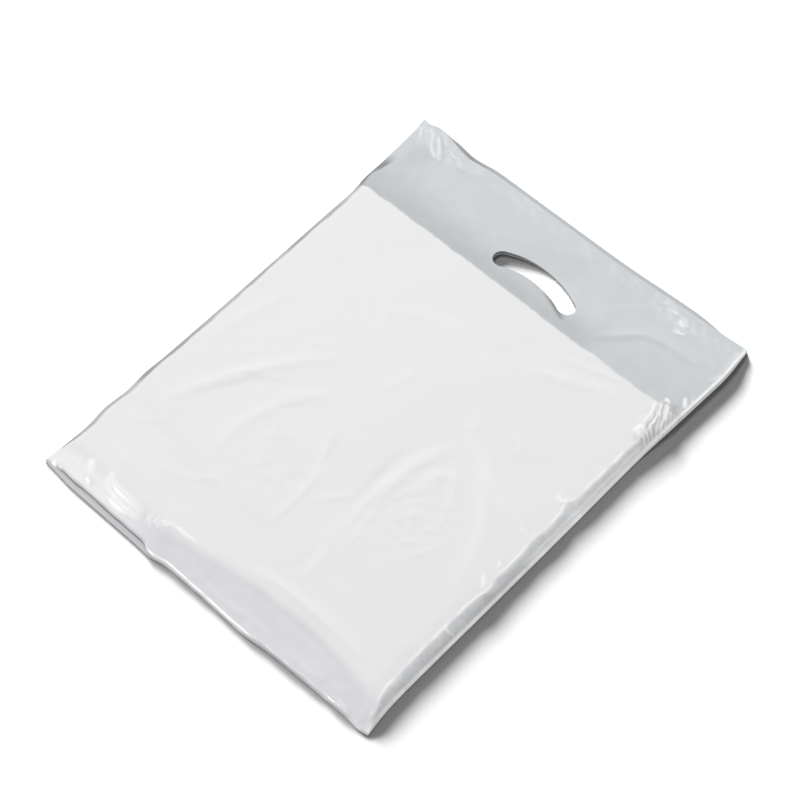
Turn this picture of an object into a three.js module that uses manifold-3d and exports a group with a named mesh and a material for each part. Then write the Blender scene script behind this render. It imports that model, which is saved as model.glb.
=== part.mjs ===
// Plastic carrier bag with a die-cut handle hole, lying on its back with its front panel up.
// It keeps the shape of a flat square load, though nothing is inside.
// Millimetres, +Z up. X runs across the bag and Y from the bottom fold to the open mouth.
// The origin is on the floor, under the middle of the bag.
import * as THREE from "three";
import { mergeVertices } from "three/addons/utils/BufferGeometryUtils.js";
import Module from "manifold-3d";

// The bag laid flat
const BAG_WIDTH = 381; // over both side welds
const BAG_LENGTH = 496; // bottom fold to mouth
const FILM = 0.6; // every wall, thicker than real film so that it is a solid
const WELD_WIDTH = 2.5; // side weld, from the edge inwards
const WELD_HEIGHT = 1.8; // top of the side weld above the floor

// The filled body, whose flat top shows what the bag held
const SIDE_SLOPE = 15; // from each weld in to the body's flat top
const BODY_WIDTH = BAG_WIDTH - 2 * SIDE_SLOPE;
const BODY_HEIGHT = 12;
const HEADER_DEPTH = 101; // empty film from the body's end to the mouth
const BOTTOM_BAND = 22; // slope from the bottom fold up to the body, near the sides
const BAND_SWELL = 15; // how much wider that slope is right of the middle

// The header, the bottom fold and the gusset tucked into it
const HEADER_FALL = 25; // length over which the film falls from the body to the header
const HEADER_SAG = 36; // how much longer that fall is beside the right weld
const MOUTH_HEIGHT = 6.2; // the front panel's height at the middle of the mouth
const HEADER_ROUND = 95; // how far in from the welds the header's front panel curves down
const FOLD_HEIGHT = 4.4; // top of the bottom fold above the floor
const GUSSET_DEPTH = 30; // how far the gusset is tucked in behind the bottom fold

// The handle hole, a kidney whose outer arc faces the mouth
const HANDLE_LENGTH = 94;
const HANDLE_WIDTH = 18;
const HANDLE_RISE = 10; // how far the middle of its centre line is above the ends
const HANDLE_TO_MOUTH = 63; // from the middle of the hole to the mouth
const HANDLE_SHIFT = 4; // the hole's middle sits this far right of the bag's

// How the outline is drawn in, inside the flat bag's rectangle
const WAIST = 2.6; // at each weld beside the body
const MOUTH_DIP = 6; // at the crumpled left end of the mouth
const FOLD_DIP = 3; // at the left end of the bottom fold

// Where the film lies unevenly, as shares of the bag's half width right of its middle
const BAND_PEAK = 0.37; // the slope at the bottom is widest here
const BAND_REACH = 0.78;
const LIFT_PEAK = 0.5; // the bottom fold is lifted most here, by LIFT of its height
const LIFT_REACH = 0.37;
const LIFT = 0.3;
const SAG_START = 0.44; // the header's longer fall begins here and is full at SAG_FULL
const SAG_FULL = 0.66;
const DIP_PEAK = -0.72; // the mouth dips most here
const DIP_REACH = 0.2;
const DIP_START = -0.2; // left of here the bottom fold dips

// Where the welds are drawn in most, as shares of the bag's half length, measured from its middle
const WAIST_PEAK = -0.2;
const WAIST_REACH = 0.84;

// Rounding of the edges, as a share of each slope
const SHOULDER = 0.25; // between a slope and the body's flat top
const HEADER_FOOT = 0.5; // between the header's fall and its flat

// Mesh spacing over the flat stretches
const COLUMN_STEP = 12.5;
const ROW_STEP = 12.5;

const halfWidth = BAG_WIDTH / 2;
const halfLength = BAG_LENGTH / 2;
const headerLine = halfLength - HEADER_DEPTH;

// Folds standing on the film. Each runs through three points of a curve, given in percent of the
// body's half width and the bag's half length, and has a height and a half breadth in millimetres.
const FOLDS = [
  // the long fold up the middle and the arches to its right
  { from: [32, -75], by: [16, -30], to: [38, 0], height: 2.4, breadth: 7 },
  { from: [40, -26], by: [38, -4], to: [58, -14], height: 1.5, breadth: 7 },
  { from: [33, 8], by: [80, -6], to: [91, -44], height: 1.6, breadth: 8 },
  { from: [50, 5], by: [72, -8], to: [97, -10], height: 1.2, breadth: 7 },
  // the fan of folds on the left
  { from: [-3, -69], by: [8, -44], to: [-16, -25], height: 1.8, breadth: 7 },
  { from: [-51, -62], by: [-56, -32], to: [-23, -12], height: 1.6, breadth: 7 },
  { from: [-90, -58], by: [-73, -24], to: [-39, -1], height: 1.9, breadth: 7 },
  { from: [-97, -30], by: [-95, -8], to: [-84, 9], height: 1.2, breadth: 7 },
  { from: [-88, -52], by: [-50, -82], to: [16, -64], height: -0.9, breadth: 9 },
  // faint folds below the header
  { from: [-44, 22], by: [-17, 42], to: [24, 31], height: 1.0, breadth: 8 },
  { from: [34, 40], by: [55, 46], to: [80, 54], height: 1.3, breadth: 7 },
  // the crease along the bottom band
  { from: [4, -84], by: [42, -77], to: [93, -82], height: 1.3, breadth: 7 },
  // the crease that runs from the handle hole to the right weld
  { from: [46, 70], by: [58, 78], to: [76, 82], height: 1.3, breadth: 7 },
  { from: [70, 81], by: [86, 84], to: [103, 88], height: 1.2, breadth: 7 },
  // the crumpled corners of the mouth
  { from: [-100, 96], by: [-88, 95], to: [-85, 84], height: 2.2, breadth: 6 },
  { from: [-86, 97], by: [-80, 94], to: [-70, 93], height: 1.6, breadth: 6 },
  { from: [62, 90], by: [76, 92], to: [84, 90], height: 1.2, breadth: 6 },
  // the gathers at the body's right corner, below the header
  { from: [95, 59], by: [100, 60], to: [104, 66], height: 2.0, breadth: 5 },
  { from: [95, 52], by: [100, 51], to: [104, 50], height: 1.8, breadth: 5 },
];
const FOLD_STEPS = 12; // straight pieces that stand for a fold's curve

const wasm = await Module();
wasm.setup();

const { clamp, smoothstep, lerp } = THREE.MathUtils;

// The lower of a and b, with the corner between them rounded over k.
function softMin(a, b, k) {
  const near = Math.max(k - Math.abs(a - b), 0) / k;
  return Math.min(a, b) - (near * near * k) / 4;
}

// A hump of height 1 around middle, gone at reach to either side.
function hump(value, middle, reach) {
  return smoothstep(1 - Math.abs(value - middle) / reach, 0, 1);
}

function foldCurves() {
  const place = ([across, along]) =>
    new THREE.Vector3((across * BODY_WIDTH) / 200, (along * halfLength) / 100, 0);
  return FOLDS.map(({ from, by, to, height, breadth }) => ({
    points: new THREE.QuadraticBezierCurve3(place(from), place(by), place(to)).getPoints(FOLD_STEPS),
    height,
    breadth,
  }));
}

// The height that the folds add at a point: each is a rounded ridge that fades out at its ends.
function foldHeight(curves, x, y) {
  const point = new THREE.Vector3(x, y, 0);
  const nearest = new THREE.Vector3();
  const piece = new THREE.Line3();
  let sum = 0;
  for (const { points, height, breadth } of curves) {
    let best = Infinity;
    let along = 0;
    for (let i = 0; i < FOLD_STEPS; i++) {
      piece.set(points[i], points[i + 1]);
      const t = piece.closestPointToPointParameter(point, true);
      const distance = piece.at(t, nearest).distanceTo(point);
      if (distance < best) {
        best = distance;
        along = (i + t) / FOLD_STEPS;
      }
    }
    const fade = Math.sin(Math.PI * clamp(along, 0, 1)) ** 0.6;
    sum += height * fade * Math.exp(-((best / breadth) ** 2));
  }
  return sum;
}

// How far over the floor the bottom fold stands.
function bottomFold(x) {
  const inFromWeld = smoothstep((halfWidth - Math.abs(x)) / GUSSET_DEPTH, 0, 1);
  const lifted = 1 + LIFT * hump(x / halfWidth, LIFT_PEAK, LIFT_REACH);
  return WELD_HEIGHT + (FOLD_HEIGHT - WELD_HEIGHT) * inFromWeld * lifted;
}

// The front panel's outer face over the floor, before its folds are added.
function panelHeight(x, y) {
  const fromWeld = halfWidth - Math.abs(x);
  const fromFold = y + halfLength;
  const band = BOTTOM_BAND + BAND_SWELL * hump(x / halfWidth, BAND_PEAK, BAND_REACH);
  const fallLength = HEADER_FALL + HEADER_SAG * smoothstep(x / halfWidth, SAG_START, SAG_FULL);
  const fallen = Math.max(y - headerLine, 0) / fallLength;
  const level = lerp(BODY_HEIGHT, MOUTH_HEIGHT, softMin(fallen, 1, HEADER_FOOT));
  const settled = smoothstep(fallen, 0, 1);
  const sideSpan = lerp(SIDE_SLOPE, HEADER_ROUND, settled);
  const slopes = softMin(fromWeld / sideSpan, fromFold / band, SHOULDER);
  const up = softMin(slopes, 1, SHOULDER);
  const share = clamp(up, 0, 1);
  const rounded = lerp(share, 1 - (1 - share) ** 2, settled);
  const base = lerp(bottomFold(x), WELD_HEIGHT, smoothstep(fromFold / GUSSET_DEPTH, 0, 1));
  return lerp(base, level, rounded);
}

// The front panel's outer face at (x, y) of the flat bag, with the outline drawn in.
function panelPoint(curves, x, y) {
  const fade = smoothstep((halfWidth - Math.abs(x)) / SIDE_SLOPE, 0, 0.6);
  const z = panelHeight(x, y) + foldHeight(curves, x, y) * fade;
  const waist = WAIST * hump(y / halfLength, WAIST_PEAK, WAIST_REACH);
  const atMouth = smoothstep(y, headerLine, halfLength);
  const atFold = smoothstep(-y, 0, halfLength);
  const dip = MOUTH_DIP * hump(x / halfWidth, DIP_PEAK, DIP_REACH) * atMouth;
  const foldDip = FOLD_DIP * smoothstep(-x / halfWidth, -DIP_START, 1) * atFold;
  const drawn = x * (1 - waist / halfWidth);
  return new THREE.Vector3(drawn, y - dip + foldDip, Math.max(z, WELD_HEIGHT));
}

// Stations from low to high that include the given ones, with steps of about the given length.
function stations(fixed, step) {
  const out = [fixed[0]];
  for (let i = 1; i < fixed.length; i++) {
    const count = Math.max(1, Math.round((fixed[i] - fixed[i - 1]) / step));
    for (let k = 1; k <= count; k++) out.push(lerp(fixed[i - 1], fixed[i], k / count));
  }
  return out;
}

function columnStations() {
  const onSlope = [0.45, 0.8, 1.05, 1.4].map((share) => share * SIDE_SLOPE);
  const left = [0, WELD_WIDTH, ...onSlope].map((d) => d - halfWidth);
  return stations([...left, ...left.map((x) => -x).reverse()], COLUMN_STEP);
}

function rowStations() {
  const onBand = [0, 0.6, 1.2].map((share) => BOTTOM_BAND + share * BAND_SWELL);
  const bottom = [0, WELD_WIDTH, BOTTOM_BAND / 2, ...onBand].map((d) => d - halfLength);
  const header = [0, 0.2, 0.5, 1].map((share) => headerLine + share * HEADER_FALL);
  return stations([...bottom, ...header, halfLength], ROW_STEP);
}

// The outer face moved inwards by the film's thickness, square to the face.
function innerPoint(curves, x, y) {
  const delta = 0.5;
  const here = panelPoint(curves, x, y);
  const across = panelPoint(curves, x + delta, y).sub(panelPoint(curves, x - delta, y));
  const along = panelPoint(curves, x, y + delta).sub(panelPoint(curves, x, y - delta));
  return here.addScaledVector(across.cross(along).normalize(), -FILM);
}

// A closed solid between a grid of points, as its top, and a flat floor under its edge.
function solidUnder(grid, floor) {
  const rows = grid.length;
  const columns = grid[0].length;
  const at = (row, column) => row * columns + column;
  const points = grid.flat().map((p) => p.clone());
  const faces = [];
  for (let r = 0; r + 1 < rows; r++)
    for (let c = 0; c + 1 < columns; c++) {
      faces.push([at(r, c), at(r, c + 1), at(r + 1, c + 1)]);
      faces.push([at(r, c), at(r + 1, c + 1), at(r + 1, c)]);
    }
  const rim = [];
  for (let c = 0; c < columns - 1; c++) rim.push(at(0, c));
  for (let r = 0; r < rows - 1; r++) rim.push(at(r, columns - 1));
  for (let c = columns - 1; c > 0; c--) rim.push(at(rows - 1, c));
  for (let r = rows - 1; r > 0; r--) rim.push(at(r, 0));
  const first = points.length;
  for (const i of rim) points.push(points[i].clone().setZ(floor));
  for (let i = 0; i < rim.length; i++) {
    const next = (i + 1) % rim.length;
    faces.push([rim[i], first + i, first + next]);
    faces.push([rim[i], first + next, rim[next]]);
  }
  const outline = rim.map((i) => new THREE.Vector2(points[i].x, points[i].y));
  for (const [a, b, c] of THREE.ShapeUtils.triangulateShape(outline, [])) {
    faces.push([first + a, first + c, first + b]);
  }
  return solidOf(points, faces);
}

// A closed solid through like sections, each a loop of points that runs clockwise seen from -X.
function solidThrough(sections) {
  const size = sections[0].length;
  const points = sections.flat();
  const faces = [];
  for (let s = 0; s + 1 < sections.length; s++)
    for (let i = 0; i < size; i++) {
      const a = s * size + i;
      const b = s * size + ((i + 1) % size);
      faces.push([a, a + size, b + size]);
      faces.push([a, b + size, b]);
    }
  const last = (sections.length - 1) * size;
  for (let i = 1; i + 1 < size; i++) {
    faces.push([0, i, i + 1]);
    faces.push([last, last + i + 1, last + i]);
  }
  return solidOf(points, faces);
}

function solidOf(points, faces) {
  const made = new wasm.Manifold(
    new wasm.Mesh({
      numProp: 3,
      vertProperties: new Float32Array(points.flatMap((p) => p.toArray())),
      triVerts: new Uint32Array(faces.flat()),
    }),
  );
  if (made.volume() <= 0) throw new Error("a solid's faces point inwards");
  return made;
}

function solidFrom(geometry) {
  geometry.deleteAttribute("normal");
  geometry.deleteAttribute("uv");
  const merged = mergeVertices(geometry, 1e-4);
  const place = merged.attributes.position;
  const points = [];
  for (let i = 0; i < place.count; i++) points.push(new THREE.Vector3().fromBufferAttribute(place, i));
  return solidOf(points, [...merged.index.array]);
}

// Sections of the tucked gusset along X: its two plies, and the groove that they leave outside.
function gussetSections(curves, columns) {
  const passing = 1; // the cutters pass the fold's edge by this
  const bottom = 2 * FILM; // the lower ply lies on the back panel
  const end = bottom + FILM / 2; // top of the groove where the film turns back
  const plies = [];
  const groove = [];
  for (const x of columns) {
    const edge = panelPoint(curves, x, -halfLength);
    const outside = edge.y - passing;
    const inside = edge.y + GUSSET_DEPTH;
    const loop = (...corners) => corners.map(([y, z]) => new THREE.Vector3(edge.x, y, z));
    plies.push(loop([outside, 0], [outside, edge.z], [inside + FILM, end + FILM], [inside + FILM, 0]));
    groove.push(loop([outside, bottom], [outside, edge.z - FILM], [inside, end]));
  }
  return { plies, groove };
}

function handleHole() {
  const ends = HANDLE_LENGTH / 2 - HANDLE_WIDTH / 2; // the end circles' centres, from the middle
  const radius = (ends * ends + HANDLE_RISE * HANDLE_RISE) / (2 * HANDLE_RISE);
  const middle = halfLength - HANDLE_TO_MOUTH - radius;
  const half = HANDLE_WIDTH / 2;
  const spread = Math.asin(ends / radius);
  const upright = Math.PI / 2;
  const [right, left] = [upright - spread, upright + spread];
  const endAt = (angle) => [
    HANDLE_SHIFT + radius * Math.cos(angle),
    middle + radius * Math.sin(angle),
  ];
  const shape = new THREE.Shape();
  shape.absarc(HANDLE_SHIFT, middle, radius + half, right, left, false);
  shape.absarc(...endAt(left), half, left, left + Math.PI, false);
  shape.absarc(HANDLE_SHIFT, middle, radius - half, left, right, true);
  shape.absarc(...endAt(right), half, right + Math.PI, right + 2 * Math.PI, false);
  const depth = 4 * BODY_HEIGHT;
  const hole = new THREE.ExtrudeGeometry(shape, { depth, bevelEnabled: false, curveSegments: 8 });
  return hole.translate(0, 0, -depth / 2);
}

function bagGeometry() {
  const curves = foldCurves();
  const columns = columnStations();
  const rows = rowStations();
  const outer = rows.map((y) => columns.map((x) => panelPoint(curves, x, y)));

  // the inside runs out through the mouth, and stops at the welds and at the bottom fold
  const inColumns = columns.slice(1, -1);
  const inner = rows.slice(1).map((y) => inColumns.map((x) => innerPoint(curves, x, y)));
  const past = HEADER_ROUND / 10;
  inner.push(inner.at(-1).map((p) => p.clone().add(new THREE.Vector3(0, past, 0))));

  const grooveColumns = columns.filter((x) => halfWidth - Math.abs(x) > GUSSET_DEPTH / 2);
  const { plies } = gussetSections(curves, inColumns);
  const { groove } = gussetSections(curves, grooveColumns);
  const inside = solidUnder(inner, FILM).subtract(solidThrough(plies));
  const bag = solidUnder(outer, 0)
    .subtract(inside)
    .subtract(solidThrough(groove))
    .subtract(solidFrom(handleHole()));

  const mesh = bag.getMesh();
  return new THREE.BufferGeometry()
    .setAttribute("position", new THREE.BufferAttribute(mesh.vertProperties, 3))
    .setIndex(new THREE.BufferAttribute(mesh.triVerts, 1));
}

// White blown polyethylene film, half glossy
const film = new THREE.MeshStandardMaterial({ color: 0xe7e8ea, roughness: 0.38, metalness: 0 });

const bag = new THREE.Mesh(bagGeometry(), film);
bag.name = "bag";
bag.geometry.computeVertexNormals();

const carrierBag = new THREE.Group();
carrierBag.name = "carrier_bag";
carrierBag.add(bag);

export default carrierBag;
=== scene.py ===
# Looks of a plastic carrier bag: white film that lies on its back, with its folds and gathers.
# Lengths are in millimetres here and become metres when a mesh is made. X and Y are those of the
# flat bag: X runs to the right weld and Y from the bottom fold to the mouth.
import math

import bpy
import numpy as np
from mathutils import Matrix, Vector


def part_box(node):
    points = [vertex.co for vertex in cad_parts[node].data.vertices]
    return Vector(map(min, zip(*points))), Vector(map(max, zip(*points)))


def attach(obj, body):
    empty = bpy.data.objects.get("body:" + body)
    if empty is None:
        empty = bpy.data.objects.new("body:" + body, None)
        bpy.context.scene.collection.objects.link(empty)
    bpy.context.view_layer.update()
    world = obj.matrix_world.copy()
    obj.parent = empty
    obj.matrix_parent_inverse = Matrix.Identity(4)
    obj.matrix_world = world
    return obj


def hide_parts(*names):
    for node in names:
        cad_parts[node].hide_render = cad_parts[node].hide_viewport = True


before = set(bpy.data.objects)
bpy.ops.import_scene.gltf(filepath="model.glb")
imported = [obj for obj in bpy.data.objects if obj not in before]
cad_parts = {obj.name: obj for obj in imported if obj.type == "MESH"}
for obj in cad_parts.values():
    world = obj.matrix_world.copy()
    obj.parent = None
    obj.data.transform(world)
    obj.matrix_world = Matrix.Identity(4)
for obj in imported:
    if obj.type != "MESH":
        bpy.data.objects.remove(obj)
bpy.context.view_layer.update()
bag_low, bag_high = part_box("bag")
MM = 1000.0

# The bag laid flat, as the solid has it
BAG_WIDTH = round((bag_high.x - bag_low.x) * MM, 1)
BAG_LENGTH = round((bag_high.y - bag_low.y) * MM, 1)
HALF_WIDTH = BAG_WIDTH / 2
HALF_LENGTH = BAG_LENGTH / 2
WELD_HEIGHT = 1.8
SIDE_SLOPE = 15.0
BODY_WIDTH = BAG_WIDTH - 2 * SIDE_SLOPE
BODY_HEIGHT = 12.0
HEADER_DEPTH = 101.0
HEADER_LINE = HALF_LENGTH - HEADER_DEPTH
BOTTOM_BAND = 22.0
FOLD_HEIGHT = 4.4
GUSSET_DEPTH = 30.0
HANDLE_LENGTH = 94.0
HANDLE_WIDTH = 18.0
HANDLE_RISE = 10.0
HANDLE_TO_MOUTH = 63.0
HANDLE_SHIFT = 4.0

# What the looks add to it: the film's thickness, then the forms that the photo shows
FILM = 0.45
CURL = 6.5
LEDGE = 4.4
LEDGE_HEIGHT = 1.5
BAND_SWELL = 15.0
FOLD_LIFT = 0.3
ROLL_BREADTH = 2.6
ROLL_DROP = 2.2
HEADER_FALL = 25.0
HEADER_SAG = 36.0
HEADER_ROUND = 95.0
MOUTH_HEIGHT = 6.2
HOLE_SINK = 5.2
HOLE_SINK_MIDDLE = (22, 190)
HOLE_SINK_REACH = (44, 23)
BACK_MOUTH_LEAD = 7.5

# How far each edge stands out of the flat bag's outline, against the place along it
MOUTH_EDGE = [
    (-191, -0.5), (-182, -2), (-172, 0.5), (-160, -2.5), (-150, -5), (-140, -8), (-130, -9.5),
    (-118, -8.5), (-100, -6.5), (-50, -6.8), (50, -6.8), (100, -4.8), (150, -3), (191, 0.8),
]
FOLD_EDGE = [
    (-191, -1), (-170, 1.5), (-150, 3), (-80, 4.2), (-62, 5.2), (-50, 3.2), (-40, 2.2), (0, 2.6),
    (45, 4.2), (62, 3.2), (80, 1.8), (160, 1.2), (180, 2.4), (191, 0.5),
]
RIGHT_EDGE = [
    (-249, -2.5), (-225, -5.2), (-200, -5.8), (-150, -5), (-100, -4), (0, -2.5), (100, -1.5),
    (150, 0.8), (200, 3.1), (215, 3.4), (232, 2.2), (249, 0.4),
]
LEFT_EDGE = [
    (-249, 2.8), (-235, 2), (-200, 0), (-175, 2), (-150, 0), (-125, 1.3), (-100, 0), (-50, -1),
    (0, -1.7), (100, -2.5), (140, -3), (160, -0.8), (185, -1), (230, 0.7), (249, 3),
]
EDGE_REACH = 40

# How wide the slopes look, the right one against the place along it
RIGHT_SLOPE = [
    (-249, 3), (-228, 6), (-208, 9.5), (-150, 10.5), (-106, 10.5), (-88, 8), (-72, 10), (-42, 10),
    (-28, 11.5), (-12, 10), (8, 10.5), (20, 13.5), (34, 10), (100, 9), (118, 8), (249, 8),
]
LEFT_SLOPE = 8.8

# Main folds, as the solid has them: three points of a curve in percent of the body's half width
# and the bag's half length, then height and half breadth
MAIN_FOLDS = [
    ((32, -75), (16, -30), (38, 0), 2.4, 7),
    ((40, -26), (38, -4), (58, -14), 1.5, 7),
    ((33, 8), (80, -6), (91, -44), 1.6, 8),
    ((50, 5), (72, -8), (97, -10), 1.2, 7),
    ((-3, -69), (8, -44), (-16, -25), 1.8, 7),
    ((-51, -62), (-56, -32), (-23, -12), 1.6, 7),
    ((-90, -58), (-73, -24), (-39, -1), 1.9, 7),
    ((-97, -30), (-95, -8), (-84, 9), 1.2, 7),
    ((-88, -52), (-50, -82), (16, -64), -0.9, 9),
    ((-44, 22), (-17, 42), (24, 31), 1.0, 8),
    ((34, 40), (55, 46), (80, 54), 1.3, 7),
    ((4, -84), (42, -77), (93, -82), 1.3, 7),
    ((46, 70), (58, 78), (76, 82), 1.3, 7),
    ((70, 81), (86, 84), (103, 88), 1.2, 7),
    ((-100, 96), (-88, 95), (-85, 84), 2.2, 6),
    ((-86, 97), (-80, 94), (-70, 93), 1.6, 6),
    ((62, 90), (76, 92), (84, 90), 1.2, 6),
    ((95, 59), (100, 60), (104, 66), 2.0, 5),
    ((95, 52), (100, 51), (104, 50), 1.8, 5),
]

# Finer folds on the film: points, then height and half breadth
FINE_FOLDS = [
    # beside the long fold up the middle
    ([(46, -180), (47, -140), (40, -95), (36, -50), (42, -26)], -1.0, 6.0),
    ([(62, -150), (58, -110), (52, -70), (56, -40)], 0.6, 5.0),
    ([(52, -12), (70, -30), (84, -52)], 0.35, 4.0),
    ([(66, -8), (88, -28), (104, -56), (110, -84)], 0.5, 4.0),
    ([(70, -70), (84, -78), (96, -98)], 0.5, 4.0),
    ([(74, -96), (92, -100), (108, -92)], 0.4, 3.5),
    ([(106, -110), (116, -98), (122, -84)], 0.5, 3.5),
    # the fan on the left
    ([(-2, -100), (3, -128), (2, -160)], -0.9, 4.5),
    ([(10, -122), (22, -108), (34, -96)], 0.6, 4.0),
    ([(-16, -60), (-8, -84), (-3, -108)], -0.6, 4.0),
    ([(-40, -118), (-28, -126), (-18, -142)], 0.5, 4.0),
    ([(-58, -108), (-50, -128), (-36, -140)], 0.4, 4.0),
    ([(-66, -76), (-62, -96), (-60, -112)], 0.3, 3.5),
    ([(-84, -168), (-62, -166), (-44, -176), (-30, -186)], 0.35, 5.0),
    ([(-140, -122), (-122, -90), (-104, -66), (-80, -48)], -0.5, 5.0),
    ([(-126, -72), (-110, -62), (-98, -64)], 0.5, 3.5),
    ([(-172, -140), (-150, -156), (-120, -164)], -0.6, 6.0),
    ([(-170, -196), (-140, -202), (-96, -200)], 0.5, 6.0),
    ([(-104, -10), (-90, -2), (-76, 10)], 0.4, 4.0),
    ([(-92, -76), (-78, -62), (-62, -46), (-52, -34)], 0.6, 4.0),
    ([(-84, -88), (-70, -72), (-58, -58)], -0.4, 3.5),
    ([(-120, -188), (-84, -178), (-60, -158)], 0.5, 5.0),
    # the body's upper half
    ([(-72, 66), (-66, 50), (-68, 34)], 0.3, 4.5),
    ([(-40, 94), (-20, 92), (0, 97)], 0.3, 4.0),
    ([(-14, 38), (-12, 20), (-22, -4)], 0.5, 4.5),
    ([(20, 84), (34, 76), (46, 68)], 0.35, 4.5),
    ([(54, 40), (66, 26), (60, 14)], 0.5, 4.0),
    ([(96, 44), (110, 34), (108, 20)], 0.4, 4.0),
    # under the header's right half
    ([(70, 104), (86, 108), (100, 100)], 0.3, 4.0),
    ([(78, 130), (104, 136), (134, 146)], 0.7, 4.0),
    ([(64, 150), (84, 146), (96, 138)], 0.5, 3.5),
    # along the bottom band
    ([(20, -202), (60, -200), (110, -202), (150, -206)], 0.9, 3.5),
    ([(-10, -222), (40, -218), (100, -217), (136, -222), (150, -232)], -1.0, 5.5),
    ([(-30, -236), (10, -240), (50, -236), (78, -240)], 0.5, 3.5),
    ([(90, -236), (112, -241), (134, -237)], 0.5, 3.0),
    # the header, with the step from the hole's end to the right weld
    ([(72, 163), (92, 178), (110, 197), (132, 203), (160, 204), (184, 216)], 1.0, 4.5),
    ([(78, 158), (98, 174), (116, 193), (140, 198)], -1.0, 4.5),
    ([(62, 190), (80, 206), (96, 222)], 0.4, 4.5),
    ([(-178, 232), (-162, 206), (-150, 184)], 0.5, 6.0),
    ([(-120, 176), (-96, 172), (-70, 178)], 0.5, 5.0),
    ([(-60, 184), (-52, 172), (-46, 160)], 0.5, 3.0),
]

# The folds' final height and breadth, as shares of the two tables' values
MAIN_FOLD_SCALE = 0.75
MAIN_FOLD_BREADTH = 0.85
FINE_FOLD_SCALE = 1.2
FINE_FOLD_BREADTH = 0.8

# Patches of short fine wrinkles: middle, reach and height
WRINKLE_PATCHES = [
    (-38, -120, 34, 0.42),
    (88, -84, 38, 0.42),
    (64, -24, 26, 0.3),
    (-122, -62, 34, 0.25),
    (10, -172, 40, 0.2),
    (-140, -150, 40, 0.2),
    (-150, 60, 40, 0.16),
    (104, 128, 40, 0.18),
    (-6, 92, 34, 0.14),
]

# Corners where the film is crumpled: middle, reach and strength
CRUMPLED = [
    (-168, 228, 26, 1),
    (178, 148, 20, 1),
    (140, 236, 24, 0.6),
    (-180, -238, 20, 0.6),
    (160, -240, 24, 0.5),
]

# Where the film gathers into small sharp folds: points, then height and half breadth
GATHERS = [
    # the mouth's left corner
    ([(-180, 244), (-174, 238), (-167, 231)], 1.6, 2.0),
    ([(-168, 240), (-158, 231), (-147, 217)], 1.7, 2.6),
    ([(-172, 235), (-164, 225), (-152, 217)], 1.4, 2.2),
    ([(-163, 243), (-155, 237), (-150, 232)], -1.2, 1.8),
    ([(-148, 225), (-132, 228), (-116, 232)], 0.5, 3.4),
    ([(-150, 240), (-142, 236), (-136, 238)], 1.0, 2.0),
    ([(-190, 242), (-184, 234), (-180, 226)], 1.0, 2.2),
    ([(-142, 218), (-138, 213), (-140, 206)], 0.5, 1.8),
    # below the header's right end
    ([(172, 122), (177, 117), (179, 110)], 1.6, 2.6),
    ([(174, 152), (180, 147), (186, 139)], 1.6, 2.4),
    ([(168, 158), (173, 157), (177, 153)], 1.0, 2.0),
    ([(180, 172), (184, 167), (189, 162)], 1.4, 2.2),
    ([(184, 178), (188, 172), (190, 166)], 1.0, 1.8),
    # the header's right part
    ([(100, 238), (106, 241), (112, 241)], 0.9, 1.6),
    ([(112, 234), (119, 240), (124, 236)], 0.9, 1.6),
    ([(128, 240), (133, 235), (137, 230)], 1.4, 2.4),
    ([(128, 224), (131, 219), (135, 222)], 1.2, 2.2),
    ([(58, 240), (62, 236), (66, 232)], 0.8, 1.6),
    ([(182, 196), (187, 206), (189, 218)], 0.9, 2.2),
    # where the right shoulder is pinched
    ([(164, 22), (171, 19), (178, 24)], 1.2, 2.4),
    ([(168, -78), (176, -85), (181, -90)], 0.7, 2.0),
    ([(176, -136), (181, -138), (187, -136)], 0.9, 2.0),
    ([(160, -28), (168, -26), (175, -30)], 0.8, 2.6),
    # the bottom band's left half
    ([(-157, -222), (-152, -231), (-143, -236)], 1.9, 3.2),
    ([(-138, -217), (-130, -224), (-114, -226), (-88, -226)], 1.6, 3.0),
    ([(-134, -225), (-124, -233), (-105, -234), (-86, -230)], 1.5, 3.0),
    ([(-84, -221), (-80, -228), (-76, -233)], 1.4, 1.5),
    ([(-78, -219), (-73, -226), (-69, -230)], 1.2, 1.4),
    ([(-70, -224), (-65, -222), (-60, -220)], 1.5, 1.6),
    ([(-60, -220), (-48, -220), (-34, -219)], 1.2, 1.9),
    # the bottom corners
    ([(-182, -238), (-176, -243), (-168, -246)], 0.8, 2.6),
    ([(150, -240), (158, -243), (166, -246)], 0.8, 2.4),
]
PLEAT_STEP = 3.7
PLEAT_HEIGHT = 1.1

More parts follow.
